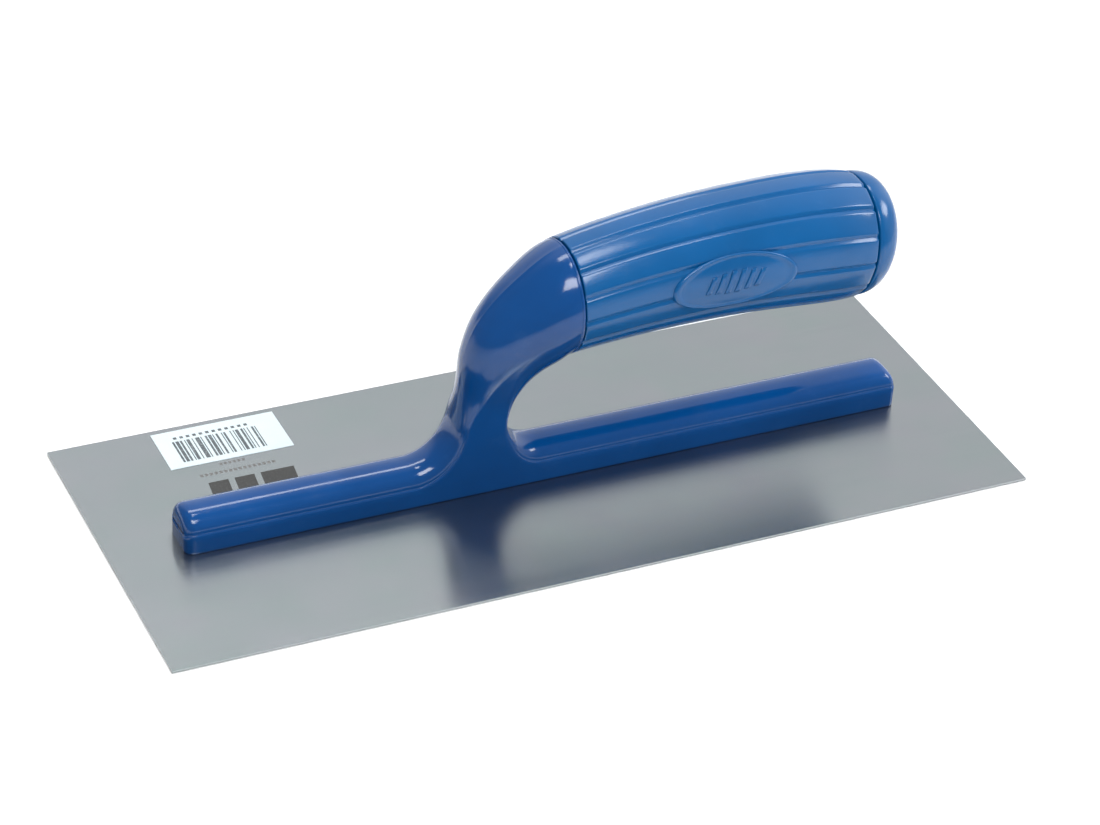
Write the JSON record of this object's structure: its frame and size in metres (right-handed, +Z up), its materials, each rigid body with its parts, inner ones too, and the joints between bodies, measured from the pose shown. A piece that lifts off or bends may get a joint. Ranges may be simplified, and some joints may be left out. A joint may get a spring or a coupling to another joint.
{
  "type": "steel finishing trowel",
  "caption": "Flat rectangular steel trowel blade with a moulded handle: long foot along the blade, one shank and a fluted grip above it.",
  "frame": {"origin": "centre of the blade's sole, the flat underside that rides on the plaster", "axes": "+X along the blade from the toe, where the shank stands, to the heel under the grip's free end; +Y across the blade; +Z up from the sole to the grip"},
  "size_m": [0.28, 0.115, 0.087],
  "materials": {
    "blade_steel": "rolled and ground sheet steel, satin",
    "blue_plastic": "glossy moulded blue",
    "rail_steel": "mild steel bar",
    "rivet_steel": "ground flush",
    "fixing_steel": "zinc plated",
    "label_paper": "white coated paper"
  },
  "bodies": {
    "root": {"blade": "blade_steel", "backing_rail": "rail_steel", "rivet_1": "rivet_steel", "rivet_2": "rivet_steel", "rivet_3": "rivet_steel", "rivet_4": "rivet_steel", "rivet_5": "rivet_steel", "rivet_6": "rivet_steel", "rivet_7": "rivet_steel", "rivet_8": "rivet_steel", "handle_frame": "blue_plastic", "tang": "fixing_steel", "grip_sleeve": "blue_plastic", "tang_washer": "fixing_steel", "tang_nut": "fixing_steel", "end_cap": "blue_plastic", "price_label": "label_paper"}
  },
  "joints": []
}
